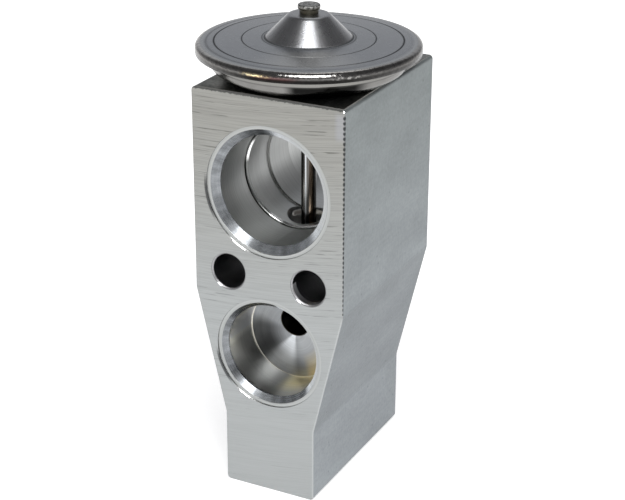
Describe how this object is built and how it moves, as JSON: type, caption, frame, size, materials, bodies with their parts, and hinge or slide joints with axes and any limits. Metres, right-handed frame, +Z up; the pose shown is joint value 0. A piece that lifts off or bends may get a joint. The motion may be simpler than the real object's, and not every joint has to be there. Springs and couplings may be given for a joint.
{
  "type": "thermostatic expansion valve",
  "caption": "Block-type thermostatic expansion valve: tapered aluminium block with pipe ports at front and back, fixing holes and a round diaphragm head on top.",
  "frame": {"origin": "on the valve axis, which is the axis of the head, rod and adjusting screw, in the plane of the block's bottom face", "axes": "+Z up along the valve axis towards the head; -Y out of the front face with the liquid outlet port; +X across the front face to the viewer's right"},
  "size_m": [0.0406, 0.0413, 0.0903],
  "materials": {
    "body_metal": "milled and extruded, bare",
    "head_steel": "bright rolled steel",
    "cover_steel": "satin grey cover with a bright rim",
    "diaphragm_steel": "thin bright sheet",
    "collar_steel": "turned",
    "plug_steel": "dark, pressed",
    "plate_steel": "turned",
    "rod_steel": "polished",
    "ball_steel": "polished",
    "spring_steel": "drawn wire",
    "screw_brass": "turned",
    "seal_rubber": "matte"
  },
  "bodies": {
    "housing": {"valve_body": "body_metal", "lower_cover": "head_steel", "upper_cover": "cover_steel", "diaphragm": "diaphragm_steel", "head_collar": "collar_steel", "head_seal": "seal_rubber", "charge_plug": "plug_steel", "rod_seal": "seal_rubber", "seal_retainer": "plate_steel", "spring": "spring_steel"},
    "valve_stem": {"actuating_rod": "rod_steel", "backing_plate": "plate_steel", "ball": "ball_steel", "ball_carrier": "plate_steel", "damping_ring": "spring_steel"},
    "adjuster_slide": {"adjuster_seal": "seal_rubber"},
    "adjuster": {"adjusting_screw": "screw_brass"}
  },
  "joints": [
    {"name": "stem_stroke", "type": "slide", "parent": "housing", "child": "valve_stem", "axis": [0, 0, -1], "range_m": [0, 0.0008], "stiffness_N_per_m": 4000, "springref_m": -0.002, "deforming": ["spring", "diaphragm"]},
    {"name": "adjuster_advance", "type": "slide", "parent": "housing", "child": "adjuster_slide", "axis": [0, 0, 1], "range_m": [-0.001, 0.001], "deforming": ["spring"]},
    {"name": "adjuster_turn", "type": "hinge", "parent": "adjuster_slide", "child": "adjuster", "pos_m": [0, 0, 0.004], "axis": [0, 0, 1], "range_deg": [-361, 361]}
  ],
  "couplings": [
    {"joint": "adjuster_turn", "follows": "adjuster_advance", "rad_per_m": 6283.2}
  ]
}
